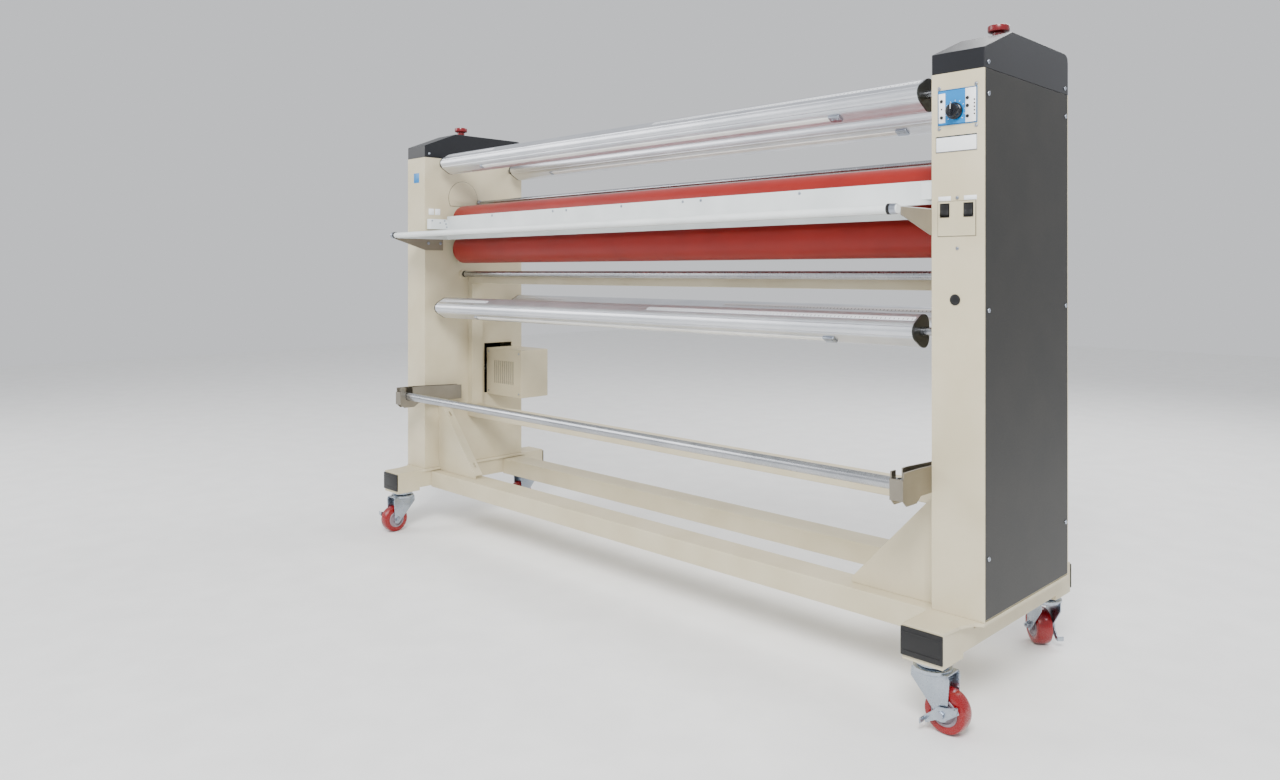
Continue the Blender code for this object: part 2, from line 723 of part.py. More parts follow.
def speed_knob():
    """A rotary knob with a grip bar across its face and a shaft into the tower."""
    x, z = KNOB_XZ
    shapes = [
        rod("Y", KNOB_XZ, 0.0155, -0.0190, -0.0026, 20),
        rod("Y", KNOB_XZ, 0.0038, -0.0040, 0.0120, 12),
        box((x - 0.0022, x + 0.0022), (-0.0215, -0.0170), (z - 0.0130, z + 0.0130)),
    ]
    return part("speed_knob", BLACK, shapes, origin=(x, 0, z))


def panel_button(name, x_z):
    """A small round push button."""
    x, z = x_z
    shapes = [rod("Y", x_z, 0.0031, -0.0040, 0.0040, 10), rod("Y", x_z, 0.0045, 0.0010, 0.0040, 10)]
    return part(name, BLACK, shapes, origin=(x, 0, z))


def rocker(name, x_range):
    """A rocker switch's key, which tips about a pivot behind the plate."""
    outline = [(-0.0060, 0.7505), (-0.0032, 0.7610), (-0.0038, 0.7715), (0.0080, 0.7700), (0.0080, 0.7520)]
    x_middle = sum(x_range) / 2
    shape = prism("X", outline, *x_range)
    return part(name, BLACK, [shape], origin=(x_middle, 0.0040, 0.7610))


def build():
    """Builds every sub-part."""
    clear_scene()
    empty("machine", (0, TOWER_FRONT_Y, BASE_Z))
    for side_name, side in (("left", -1), ("right", 1)):
        tower_frame(f"{side_name}_tower_frame", side)
        side_cover(f"{side_name}_side_cover", side)
        top_cap(f"{side_name}_top_cap", side)
        stop_button(f"{side_name}_emergency_stop", side)
        foot(f"{side_name}_foot", side)
        gusset(f"{side_name}_gusset", side)
        table_bracket(f"{side_name}_table_bracket", side)
        bar_bracket(f"{side_name}_bar_bracket", side)
        lift_block(f"{side_name}_lift_block", side)
    base_beam("front_base_beam", 0.020, 0.100)
    base_beam("rear_base_beam", 0.310, 0.390)
    cross_tube("upper_cross_tube", 0.605)
    cross_tube("lower_cross_tube", 0.155)
    wall_channel()
    motor_cover()
    drive_motor()
    motor_sprocket()
    caster("front_right", SWIVEL_X, SWIVEL_FRONT_Y, 0)
    caster("front_left", -SWIVEL_X, SWIVEL_FRONT_Y, -90)
    caster("rear_right", SWIVEL_X, SWIVEL_REAR_Y, 135)
    caster("rear_left", -SWIVEL_X, SWIVEL_REAR_Y, -90)
    roller_shaft("upper_roller_shaft", UPPER_Z, driven=False)
    roller_sleeve("upper_roller_sleeve", UPPER_Z)
    roller_shaft("lower_roller_shaft", LOWER_Z, driven=True)
    roller_sleeve("lower_roller_sleeve", LOWER_Z)
    for name, y_z in CORE_SHAFTS.items():
        core_shaft(name, y_z)
    feed_table()
    nip_guard()
    idler_bar()
    guide_bar()
    control_panel()
    switch_plate()
    speed_knob()
    for name, x_z in PANEL_BUTTONS.items():
        panel_button(name, x_z)
    for name, x_range in ROCKERS.items():
        rocker(name, x_range)


build()
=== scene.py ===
import math

import bpy
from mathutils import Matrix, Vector


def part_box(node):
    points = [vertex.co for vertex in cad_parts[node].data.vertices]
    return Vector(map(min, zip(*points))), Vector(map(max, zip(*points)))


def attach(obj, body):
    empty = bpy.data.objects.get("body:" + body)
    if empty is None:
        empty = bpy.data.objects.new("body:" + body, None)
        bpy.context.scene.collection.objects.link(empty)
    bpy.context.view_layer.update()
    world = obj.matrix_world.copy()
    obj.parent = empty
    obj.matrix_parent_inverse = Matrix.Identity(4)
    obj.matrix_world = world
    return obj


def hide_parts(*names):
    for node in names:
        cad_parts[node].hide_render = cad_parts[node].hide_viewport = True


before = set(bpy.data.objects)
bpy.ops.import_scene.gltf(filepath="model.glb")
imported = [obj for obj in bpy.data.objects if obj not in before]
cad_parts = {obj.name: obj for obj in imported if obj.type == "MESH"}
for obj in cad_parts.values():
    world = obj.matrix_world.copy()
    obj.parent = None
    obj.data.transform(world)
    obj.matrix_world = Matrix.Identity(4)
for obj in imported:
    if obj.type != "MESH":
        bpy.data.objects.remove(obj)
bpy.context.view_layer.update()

# The two towers that carry everything: folded 3 mm sheet steel boxes, open on their outer sides, in a
# cream polyester powder coat. Their front bottom lines are what the maker measures from, so every
# place further down is a measure from them, across, back and up.
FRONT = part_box("right_tower_frame")[0].y
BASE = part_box("right_tower_frame")[0].z
WALL_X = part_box("right_top_cap")[0].x
OUTER_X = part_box("right_top_cap")[1].x
SIDES = (("left", -1), ("right", 1))
CREAM = ("CCC2A6", "C4B99B")


def at(x, y, z):
    """A place measured from the towers' front bottom line, in the frame."""
    return Vector((x, FRONT + y, BASE + z))


def rgb(code):
    """The linear colour of an sRGB hex value."""
    parts = [int(code[i : i + 2], 16) / 255 for i in (0, 2, 4)]
    return tuple(c / 12.92 if c <= 0.04045 else ((c + 0.055) / 1.055) ** 2.4 for c in parts) + (1.0,)


def add(tree, kind, inputs=(), **settings):
    """Adds a node with its settings. An input is a value, or the socket that feeds it."""
    made = tree.nodes.new(kind)
    for key, value in settings.items():
        setattr(made, key, value)
    for key, value in dict(inputs).items():
        if isinstance(value, bpy.types.NodeSocket):
            tree.links.new(value, made.inputs[key])
        else:
            made.inputs[key].default_value = value
    return made


def finish_of(name, colours, inputs, worn, marks, depth):
    """A material with the shader's plain inputs, a colour that wanders between two over some
    centimetres, a roughness that goes from worn's first value to its second, and marks as a bump.
    Worn and marks are functions that take the tree and the object coordinates to a pattern."""
    made = bpy.data.materials.new(name)
    made.use_nodes = True
    tree = made.node_tree
    shader = tree.nodes["Principled BSDF"]
    for key, value in inputs.items():
        shader.inputs[key].default_value = value
    place = add(tree, "ShaderNodeTexCoord").outputs["Object"]
    cloud = add(tree, "ShaderNodeTexNoise", {"Vector": place, "Scale": 9.0, "Detail": 4.0}).outputs["Fac"]
    ramp = add(tree, "ShaderNodeValToRGB", {"Fac": cloud})
    for stop, position, code in zip(ramp.color_ramp.elements, (0.35, 0.65), colours):
        stop.position = position
        stop.color = rgb(code)
    tree.links.new(ramp.outputs["Color"], shader.inputs["Base Color"])
    pattern = marks(tree, place)
    spread = {"Value": pattern, "To Min": worn[0], "To Max": worn[1]}
    rough = add(tree, "ShaderNodeMapRange", spread)
    tree.links.new(rough.outputs["Result"], shader.inputs["Roughness"])
    relief = {"Height": pattern, "Strength": depth, "Distance": 0.0003}
    tree.links.new(add(tree, "ShaderNodeBump", relief).outputs["Normal"], shader.inputs["Normal"])
    return made


def powder_coat(name, colours, worn=(0.38, 0.55)):
    """Baked powder: an orange peel about a millimetre across that breaks up the highlights."""

    def peel(tree, place):
        settings = {"Vector": place, "Scale": 1 / 0.0012, "Detail": 2.0}
        return add(tree, "ShaderNodeTexNoise", settings).outputs["Fac"]

    return finish_of(name, colours, {"IOR": 1.5}, worn, peel, 0.10)


def dress(names, finish, edge=0.0008):
    """Keeps CAD nodes' shapes, with the edges of the sheet eased, and gives them their finish."""
    for name in names:
        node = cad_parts[name]
        node.data.materials.clear()
        node.data.materials.append(finish)
        weld = node.modifiers.new("weld", "WELD")
        weld.merge_threshold = 0.00002
        ease = node.modifiers.new("ease", "BEVEL")
        ease.width = edge
        ease.segments = 2
        ease.limit_method = "ANGLE"
        ease.angle_limit = math.radians(40)


cream = powder_coat("cream polyester powder coat, fine orange peel", CREAM)
dress(["left_tower_frame", "right_tower_frame"], cream)


def start_clean():
    """Nothing is selected and no object is in edit mode."""
    if bpy.context.mode != "OBJECT":
        bpy.ops.object.mode_set(mode="OBJECT")
    bpy.ops.object.select_all(action="DESELECT")


def turned(shape, rotation=(0, 0, 0), place=(0, 0, 0)):
    """Turns a shape that was built at the origin, moves it to its place, and leaves both in its mesh."""
    start_clean()
    shape.select_set(True)
    bpy.context.view_layer.objects.active = shape
    shape.rotation_euler = rotation
    shape.location = place
    bpy.ops.object.transform_apply(location=True, rotation=True, scale=True)
    return shape


def lathe(axis, centre, profile, count=48):
    """A turned shape: a disc, extruded along its axis and scaled from one (radius, place) of its
    profile to the next. A disc of six corners gives a nut."""
    start_clean()
    radius, place = profile[0]
    bpy.ops.mesh.primitive_circle_add(vertices=count, radius=radius, fill_type="NGON", location=(0, 0, 0))
    made = bpy.context.object
    bpy.ops.object.mode_set(mode="EDIT")
    bpy.ops.transform.translate(value=(0, 0, place))
    for next_radius, next_place in profile[1:]:
        step = {"value": (0, 0, next_place - place)}
        bpy.ops.mesh.extrude_region_move(TRANSFORM_OT_translate=step)
        ratio = next_radius / radius
        bpy.ops.transform.resize(value=(ratio, ratio, 1), center_override=(0, 0, next_place))
        radius, place = next_radius, next_place
    bpy.ops.mesh.select_all(action="SELECT")
    bpy.ops.mesh.normals_make_consistent(inside=False)
    bpy.ops.object.mode_set(mode="OBJECT")
    quarter = math.pi / 2
    turned(made, {"X": (0, quarter, 0), "Y": (-quarter, 0, 0), "Z": (0, 0, 0)}[axis], centre)
    bpy.ops.object.shade_smooth_by_angle(angle=math.radians(35))
    return made


def block(low, high, bevel=0.0006, segments=2):
    """A rectangular shape with its edges eased."""
    start_clean()
    low, high = Vector(map(min, low, high)), Vector(map(max, low, high))
    bpy.ops.mesh.primitive_cube_add(size=1, location=(low + high) / 2, scale=high - low)
    made = bpy.context.object
    bpy.ops.object.transform_apply(location=True, rotation=True, scale=True)
    bpy.ops.object.mode_set(mode="EDIT")
    bpy.ops.mesh.bevel(offset=bevel, segments=segments, affect="EDGES")
    bpy.ops.object.mode_set(mode="OBJECT")
    bpy.ops.object.shade_smooth_by_angle(angle=math.radians(50))
    return made


def joined(*shapes):
    """Several shapes as one."""
    start_clean()
    for shape in shapes:
        shape.select_set(True)
    bpy.context.view_layer.objects.active = shapes[0]
    bpy.ops.object.join()
    return bpy.context.object


def piece(shape, name, finish, body="chassis", stands_for=()):
    """Names a finished shape, gives it its material and has it ride on its body."""
    shape.name = name
    shape.data.name = name
    shape.data.materials.clear()
    shape.data.materials.append(finish)
    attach(shape, body)
    if stands_for:
        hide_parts(*stands_for)
    return shape


def trimmed(shape, place, normal):
    """Cuts off what lies behind a plane and closes the cut."""
    start_clean()
    shape.select_set(True)
    bpy.context.view_layer.objects.active = shape
    bpy.ops.object.mode_set(mode="EDIT")
    bpy.ops.mesh.select_all(action="SELECT")
    bpy.ops.mesh.bisect(plane_co=place, plane_no=normal, use_fill=True, clear_inner=True)
    bpy.ops.object.mode_set(mode="OBJECT")
    return shape


# On the left tower's inner wall, a round pressed plate closes the hole through which the roller was
# mounted, down to the slot that the roller's end slides in. A thin dark ring round it is painted shade:
# it stands for the shadow in the gap between the plate and the hole.
HOLE = at(-WALL_X, 0.148, 0.891)
SLOT_TOP = at(0, 0, 0.864)
wall_disc = lathe("X", HOLE, [(0.0566, 0.0), (0.0566, 0.0008), (0.0560, 0.0012), (0.0540, 0.0013)], 96)
piece(trimmed(wall_disc, SLOT_TOP, (0, 0, 1)), "left_bearing_disc", cream)
# The ring's dark colour is painted shade for the shadowed gap round the disc, not a colour of the sheet.
gap_painted_shade = powder_coat("painted shade of the gap round the disc", ("4A4538", "3E392E"), (0.6, 0.7))
wall_gap_shade = lathe("X", HOLE, [(0.0578, 0.0), (0.0578, 0.0004), (0.0574, 0.0005)], 96)
piece(trimmed(wall_gap_shade, SLOT_TOP, (0, 0, 1)), "left_bearing_disc_gap_shade", gap_painted_shade)

# The side covers: flat sheets over the towers' open sides, in a rough dark powder coat, each held by
# four zinc-plated pan head screws.
dark_coat = powder_coat("warm black powder coat, coarse texture", ("201E1A", "191815"), (0.42, 0.58))
dress(["left_side_cover", "right_side_cover"], dark_coat, 0.0006)


def metal(name, colours, worn, stretch, grain, depth=0.08):
    """A bare or plated metal. Its marks are a noise of that grain in metres, drawn out along the way
    it was worked, which stretch gives as three factors."""

    def drawn(tree, place):
        along = add(tree, "ShaderNodeMapping", {"Vector": place, "Scale": stretch})
        settings = {"Vector": along.outputs["Vector"], "Scale": 1 / grain, "Detail": 3.0}
        return add(tree, "ShaderNodeTexNoise", settings).outputs["Fac"]

    return finish_of(name, colours, {"Metallic": 1.0}, worn, drawn, depth)


def screw(axis, way, centre, radius=0.0045, height=0.0024):
    """A domed button head with a hexagon socket, facing up the axis (way 1) or down it (-1)."""
    head = [(0.88, 0.0), (1.0, 0.22), (0.94, 0.62), (0.74, 0.93), (0.52, 1.0)]
    profile = [(radius * r, way * height * z) for r, z in head]
    dome = lathe(axis, centre, profile, 24)
    socket = [(radius * 0.46, way * height * 0.98), (radius * 0.46, way * height * 1.03),
              (radius * 0.36, way * height * 1.03), (radius * 0.34, way * height * 0.55)]
    return joined(dome, lathe(axis, centre, socket, 6))


def row(shape, steps):
    """The shape and a copy of it at each step from it, as one."""
    copies = [shape]
    for step in steps:
        start_clean()
        shape.select_set(True)
        bpy.context.view_layer.objects.active = shape
        bpy.ops.object.duplicate_move(TRANSFORM_OT_translate={"value": step})
        bpy.ops.object.transform_apply(location=True, rotation=True, scale=True)
        copies.append(bpy.context.object)
    return joined(*copies)


zinc = metal("zinc-plated steel, bluish passivate with a soft sheen", ("AEB4BF", "99A0AC"), (0.26, 0.44),
             (1, 1, 1), 0.0025, 0.05)
for side, sign in SIDES:
    first = screw("X", sign, at(sign * OUTER_X, 0.017, 0.114))
    screws = row(first, [(0, 0.365, 0), (0, 0, 0.459), (0, 0.365, 0.459), (0, 0, 0.86), (0, 0.365, 0.86)])
    piece(screws, f"{side}_cover_screws", zinc)

# The caps: folded sheet lids over the towers' tops, sloping at the front, in a satin blue-black coat,
# with two screws in each side.
cap_coat = powder_coat("blue-black satin powder coat, smooth", ("0D0F16", "0A0C12"), (0.30, 0.42))
dress(["left_top_cap", "right_top_cap"], cap_coat, 0.0016)
for side, sign in SIDES:
    outer = screw("X", sign, at(sign * OUTER_X, 0.016, 1.0325), 0.0042, 0.0022)
    outer = row(outer, [(0, 0.362, 0)])
    inner = screw("X", -sign, at(sign * WALL_X, 0.016, 1.0325), 0.0042, 0.0022)
    piece(joined(outer, row(inner, [(0, 0.362, 0)])), f"{side}_cap_screws", zinc)


def plastic(name, colours, worn, grain=0.0010, depth=0.06, **more):
    """A moulded plastic or rubber with a spark-eroded grain about a millimetre across."""

    def pits(tree, place):
        return add(tree, "ShaderNodeTexVoronoi", {"Vector": place, "Scale": 1 / grain}).outputs["Distance"]

    inputs = {"IOR": 1.49} | {key.replace("_", " "): value for key, value in more.items()}
    return finish_of(name, colours, inputs, worn, pits, depth)


# On each cap's level roof, an emergency stop: a glossy red moulded mushroom head on a stem that moves
# in a black threaded collar.
stop_red = plastic("red moulded mushroom head, glossy", ("7A0612", "68040E"), (0.26, 0.36), 0.0014, 0.03,
                   Coat_Weight=0.3)
black = plastic("black moulded plastic, satin grain", ("0A0A0C", "060608"), (0.36, 0.52))
STOP_HEIGHT = 0.032  # above the roof
for side, sign in SIDES:
    low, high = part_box(f"{side}_emergency_stop")
    centre = (low + high) / 2
    place = Vector((centre.x, centre.y, high.z - STOP_HEIGHT))
    collar = [(0.0150, 0.0002), (0.0150, 0.0030), (0.0143, 0.0036), (0.0140, 0.0038), (0.0140, 0.0040)]
    piece(lathe("Z", place, collar), f"{side}_stop_collar", black)
    head = [(0.0075, -0.0190), (0.0080, -0.0185), (0.0080, 0.0080), (0.0118, 0.0084), (0.0122, 0.0160),
            (0.0190, 0.0178), (0.0206, 0.0188), (0.0211, 0.0202), (0.0211, 0.0285), (0.0207, 0.0300),
            (0.0196, 0.0309), (0.0160, 0.0315), (0.0080, 0.0319), (0.0040, 0.0320)]
    stem = lathe("Z", place, head, 64)
    piece(stem, f"{side}_stop_head", stop_red, f"{side}_stop_body", [f"{side}_emergency_stop"])

# The base: two rectangular tube feet with a plate welded under each tower, two tube beams between
# them and a triangular gusset at each corner, all in the towers' cream. A black moulded plug with a
# rib near its top and bottom closes each end of each foot.
dress(["left_foot", "right_foot", "front_base_beam", "rear_base_beam"], cream, 0.0016)
dress(["left_gusset", "right_gusset"], cream, 0.0010)
for side, sign in SIDES:
    low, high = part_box(f"{side}_foot")
    for end, y, way in (("front", low.y, -1), ("rear", high.y, 1)):
        near, far = sorted((sign * 0.8885, sign * 0.9715))
        plug = block((near, y, BASE - 0.0575), (far, y + way * 0.0042, BASE - 0.0045), 0.0016, 3)
        rib = block((near + 0.005, y + way * 0.0036, BASE - 0.0145),
                    (far - 0.005, y + way * 0.0049, BASE - 0.0125), 0.0004)
        ribs = row(rib, [(0, 0, -0.034)])
        piece(joined(plug, ribs), f"{side}_{end}_foot_plug", black)

# The casters: zinc-plated pressed steel forks that swivel on a double ball race, a red polyurethane
# tyre cast on a nylon core that turns on an axle bolt, and a stamped foot lever beside it.
tyre_red = plastic("red cast polyurethane tyre, glossy", ("8C060E", "7A040A"), (0.20, 0.34), 0.0016, 0.03,
                   Coat_Weight=0.2)
hub_nylon = plastic("mauve-grey nylon wheel core, satin", ("8E8088", "80737B"), (0.38, 0.52))
bright_zinc = metal("bright zinc-plated pressed steel", ("B4BCC6", "98A1AD"), (0.20, 0.38), (1, 1, 1), 0.003,
                    0.06)
TRAIL, AXLE_Z = 0.030, -0.085
CASTERS = {  # corner: heading in degrees, swivel
    "front_right": (0, at(0.930, -0.062, -0.066)),
    "front_left": (-90, at(-0.930, -0.062, -0.066)),
    "rear_right": (135, at(0.930, 0.447, -0.066)),
    "rear_left": (-90, at(-0.930, 0.447, -0.066)),
}


def stamped(outline, low, high, bevel=0.0008):
    """A pressed plate: a corner is drawn from place to place round an outline in X and Z, the outline
    is filled and drawn out along Y, and its edges are eased."""
    start_clean()
    bpy.ops.mesh.primitive_plane_add(size=0.01, location=(0, 0, 0))
    made = bpy.context.object
    bpy.ops.object.mode_set(mode="EDIT")
    bpy.ops.mesh.select_all(action="SELECT")
    bpy.ops.mesh.merge(type="CENTER")
    bpy.ops.transform.translate(value=(outline[0][0], low, outline[0][1]))
    for (x, z), (next_x, next_z) in zip(outline, outline[1:]):
        bpy.ops.mesh.extrude_vertices_move(TRANSFORM_OT_translate={"value": (next_x - x, 0, next_z - z)})
    bpy.ops.mesh.select_all(action="SELECT")
    bpy.ops.mesh.edge_face_add()
    bpy.ops.mesh.extrude_region_move(TRANSFORM_OT_translate={"value": (0, high - low, 0)})
    bpy.ops.mesh.select_all(action="SELECT")
    bpy.ops.mesh.normals_make_consistent(inside=False)
    if bevel:
        bpy.ops.mesh.bevel(offset=bevel, segments=2, affect="EDGES")
    bpy.ops.object.mode_set(mode="OBJECT")
    bpy.ops.object.shade_smooth_by_angle(angle=math.radians(30))
    return made


def arc(centre, radius, start, end, steps):
    """Points of an arc between two angles in degrees, for an outline."""
    angles = [math.radians(start + (end - start) * step / steps) for step in range(steps + 1)]
    return [(centre[0] + radius * math.cos(a), centre[1] + radius * math.sin(a)) for a in angles]


def copy_of(shape, place, heading=0):
    """A copy with its own mesh, turned about Z and moved from the origin to its place."""
    start_clean()
    shape.select_set(True)
    bpy.context.view_layer.objects.active = shape
    bpy.ops.object.duplicate()
    return turned(bpy.context.object, (0, 0, math.radians(heading)), place)


def thrown_away(*shapes):
    """Removes the models that copies were made of."""
    for shape in shapes:
        bpy.data.objects.remove(shape)


race = lathe("Z", (0, 0, 0), [
    (0.0300, -0.0003), (0.0312, -0.0012), (0.0312, -0.0070), (0.0290, -0.0082), (0.0230, -0.0094),
    (0.0330, -0.0112), (0.0352, -0.0128), (0.0355, -0.0150), (0.0348, -0.0190), (0.0330, -0.0205)])
crown = block((-0.030, -0.0222, -0.0150), (0.0400, 0.0222, -0.0178), 0.0010)
heel = arc((0.030, AXLE_Z), 0.0125, 250, 320, 6)
leg_outline = [(-0.031, -0.0155), (-0.0325, -0.0330), (0.0180, AXLE_Z - 0.004)] + heel + [
    (0.0430, -0.0230), (0.0400, -0.0155)]
legs = row(stamped(leg_outline, -0.0225, -0.0200, 0.0007), [(0, 0.0425, 0)])
fork = joined(race, crown, legs)

axle_place = (TRAIL, 0, AXLE_Z)
bolt_head = lathe("Y", axle_place, [
    (0.0070, -0.0278), (0.0075, -0.0284), (0.0075, -0.0334), (0.0064, -0.0341)], 6)
nut = lathe("Y", axle_place, [(0.0074, 0.0236), (0.0075, 0.0242), (0.0075, 0.0292), (0.0062, 0.0298)], 6)
washer = lathe("Y", axle_place, [(0.0098, 0.0225), (0.0098, 0.0237), (0.0088, 0.0239)], 32)
thread = lathe("Y", axle_place, [
    (0.0040, -0.0300), (0.0040, 0.0318), (0.0036, 0.0318), (0.0040, 0.0324), (0.0036, 0.0330)], 24)
axle = joined(bolt_head, nut, washer, thread)

tyre = lathe("Y", axle_place, [
    (0.0250, -0.0135), (0.0253, -0.0163), (0.0275, -0.0172), (0.0345, -0.0170), (0.0380, -0.0152),
    (0.0396, -0.0110), (0.0400, -0.0040), (0.0400, 0.0040), (0.0396, 0.0110), (0.0380, 0.0152),
    (0.0345, 0.0170), (0.0275, 0.0172), (0.0253, 0.0163), (0.0250, 0.0135)], 64)
core = lathe("Y", axle_place, [
    (0.0112, -0.0186), (0.0120, -0.0184), (0.0124, -0.0152), (0.0190, -0.0148), (0.0202, -0.0172),
    (0.0238, -0.0176), (0.0254, -0.0162), (0.0254, 0.0162), (0.0238, 0.0176), (0.0202, 0.0172),
    (0.0190, 0.0148), (0.0124, 0.0152), (0.0120, 0.0184), (0.0112, 0.0186)], 48)

lever_outline = [
    (TRAIL - 0.036, AXLE_Z - 0.014), (TRAIL - 0.030, AXLE_Z - 0.024), (TRAIL - 0.010, AXLE_Z - 0.0125)]
lever_outline += arc((TRAIL, AXLE_Z), 0.0135, 250, 330, 5)
lever_outline += [
    (TRAIL + 0.034, AXLE_Z + 0.010), (TRAIL + 0.030, AXLE_Z + 0.022), (TRAIL + 0.010, AXLE_Z + 0.0150)]
lever_outline += arc((TRAIL, AXLE_Z), 0.0135, 100, 150, 4)
lever_plate = stamped(lever_outline, -0.0275, -0.0250, 0.0007)
low_tab = block((TRAIL - 0.0365, -0.0400, AXLE_Z - 0.0235),
                (TRAIL - 0.0335, -0.0252, AXLE_Z - 0.0135), 0.0009)
high_tab = block((TRAIL + 0.0290, -0.0400, AXLE_Z + 0.0105),
                 (TRAIL + 0.0320, -0.0252, AXLE_Z + 0.0215), 0.0009)
lever = joined(lever_plate, low_tab, high_tab)

for corner, (heading, swivel) in CASTERS.items():
    for part, shape, finish, body, slot, node in (
        ("fork", fork, bright_zinc, "swivel_body", "zinc_steel", ["caster_fork"]),
        ("axle", axle, zinc, "swivel_body", "zinc_steel", []),
        ("tyre", tyre, tyre_red, "wheel_body", "polyurethane_red", ["caster_wheel"]),
        ("wheel_core", core, hub_nylon, "wheel_body", None, []),
        ("lever", lever, bright_zinc, "lever_body", "zinc_steel", ["brake_lever"]),
    ):
        stands_for = [f"{corner}_{name}" for name in node]
        made = copy_of(shape, swivel, heading)
        piece(made, f"{corner}_{part}", finish, f"{corner}_{body}", stands_for)
thrown_away(fork, axle, tyre, core, lever)

# The cross tubes and the wall channel between the towers' rear edges, in the towers' cream, and the
# vented steel cover over the drive motor on the left wall, held by screws through its top and foot.
dress(["upper_cross_tube", "lower_cross_tube"], cream, 0.0016)
dress(["wall_channel", "motor_cover"], cream, 0.0009)
cover_low, cover_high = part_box("motor_cover")
cover_screw = screw("Y", -1, (cover_low.x + 0.012, cover_low.y, cover_low.z + 0.012), 0.0036, 0.0018)
cover_width, cover_height = cover_high.x - cover_low.x - 0.024, cover_high.z - cover_low.z - 0.024
piece(row(cover_screw, [(cover_width, 0, 0), (0, 0, cover_height), (cover_width, 0, cover_height)]),
      "motor_cover_screws", zinc)

# The drive: a geared motor in a cast aluminium housing, with a steel chain wheel on its output shaft
# and a matching wheel on the lower roller's journal.
casting = metal("sand-blasted cast aluminium", ("8C9096", "7A7E85"), (0.42, 0.60), (1, 1, 1), 0.0012, 0.12)
turned_steel = metal("turned bright steel, fine lathe rings", ("B4B6BA", "A2A5AA"), (0.20, 0.36),
                     (40, 1, 1), 0.02, 0.06)
dress(["drive_motor"], casting, 0.0010)
dress(["motor_sprocket"], turned_steel, 0.0004)

# The two rollers: turned steel cores with a thick red silicone sleeve, ground true, which leaves fine
# rings and a soft sheen. A black flange closes each end of each sleeve.
dress(["upper_roller_shaft", "lower_roller_shaft"], turned_steel, 0.0005)


def ground(tree, place):
    """Grinding rings round the roller, a millimetre apart so that they show."""
    along = add(tree, "ShaderNodeMapping", {"Vector": place, "Scale": (1 / 0.0011, 12, 12)})
    return add(tree, "ShaderNodeTexNoise", {"Vector": along.outputs["Vector"], "Scale": 1.0}).outputs["Fac"]


silicone = finish_of("red silicone rubber, ground, soft sheen", ("8E1509", "841106"),
                     {"IOR": 1.41, "Sheen Weight": 0.08}, (0.40, 0.52), ground, 0.04)
end_black = plastic("black-green painted end plate, satin", ("14150F", "0F100B"), (0.35, 0.5))
for level in ("upper", "lower"):
    low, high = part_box(f"{level}_roller_sleeve")
    middle = (low + high) / 2
    half = high.x - middle.x
    profile = [(0.0448, -half), (0.0466, -half + 0.0003), (0.0475, -half + 0.0012), (0.0478, -half + 0.0030),
               (0.0478, half - 0.0030), (0.0475, half - 0.0012), (0.0466, half - 0.0003), (0.0448, half)]
    piece(lathe("X", middle, profile, 96), f"{level}_silicone_sleeve", silicone, f"{level}_roller",
          [f"{level}_roller_sleeve"])
    flange = [(0.0452, 0.0002), (0.0455, 0.0006), (0.0455, 0.0020), (0.0440, 0.0026), (0.0405, 0.0026)]
    right = lathe("X", middle + Vector((half, 0, 0)), flange, 64)
    left = lathe("X", middle - Vector((half, 0, 0)), [(r, -x) for r, x in flange], 64)
    piece(joined(right, left), f"{level}_roller_flanges", end_black, f"{level}_roller")
dress(["left_lift_block", "right_lift_block"], zinc, 0.0006)

# A polished steel rod across the outfeed, behind the upper roller, held in a collar on each wall.
rod_place = at(0, 0.213, 0.880)
rod = lathe("X", rod_place, [(0.0050, -0.8946), (0.0060, -0.8940), (0.0060, 0.8940), (0.0050, 0.8946)])
collars = [(0.0090, -0.8946), (0.0095, -0.8940), (0.0095, -0.8870), (0.0085, -0.8862)]
left_collar = lathe("X", rod_place, collars, 32)
right_collar = lathe("X", rod_place, [(r, -x) for r, x in collars], 32)
piece(joined(rod, left_collar, right_collar), "outfeed_rod", turned_steel, "chassis")

# Four shafts for the film and take-up cores: extruded aluminium with three ridges, a groove beside
# each ridge, a black plate on each end, and a white spring strip in the front flank that grips the
# core, held by a clip with two screws. A printed scale runs along the flank above it.
aluminium = metal("extruded aluminium, drawn lines along it", ("DDDFE4", "D0D3D9"), (0.34, 0.48),
                  (0.02, 1, 1), 0.0022, 0.05)
grip_white = plastic("white nylon spring strip, satin", ("F0EFEA", "E6E5DF"), (0.35, 0.5))
ink = plastic("printed dark grey scale marks", ("2E3034", "26282B"), (0.45, 0.6))
film = plastic("silver-grey scale film, matt", ("DCDEE2", "D2D4D8"), (0.40, 0.55))
RIDGE, FLANK = 0.0360, 0.0280
STRIP_ROLL, SCALE_ROLL = 150, 30  # the flanks' angles from the top
TICK_STEP = (0.010, 0, 0)  # one mark a centimetre, coarser than a real rule, so that they show
CORE_SHAFTS = {  # name: centre
    "upper_front": at(0, 0.065, 0.998),
    "upper_rear": at(0, 0.345, 0.998),
    "lower_front": at(0, 0.045, 0.527),
    "lower_rear": at(0, 0.345, 0.530),
}


def lobed(scale, low, high, grooves=True):
    """The shafts' profile, three ridges of which one faces the front, drawn out along X."""
    outline = []
    for step in range(96):
        angle = math.radians(3.75 * step)
        radius = (RIDGE + FLANK) / 2 + (RIDGE - FLANK) / 2 * math.cos(3 * angle)
        if grooves and step % 32 in (5, 27):
            radius -= 0.0014
        outline.append((scale * radius * math.cos(angle), scale * radius * math.sin(angle)))
    return turned(stamped(outline, low, high, 0), (0, 0, -math.pi / 2))


profile_body = lobed(1.0, -0.8480, 0.8480)
end_plates = joined(lobed(1.0, -0.8535, -0.8481, False), lobed(1.0, 0.8481, 0.8515, False))
pins = lathe("X", (0, 0, 0), [(0.0072, -0.912), (0.0080, -0.9112), (0.0080, 0.9112), (0.0072, 0.912)], 32)


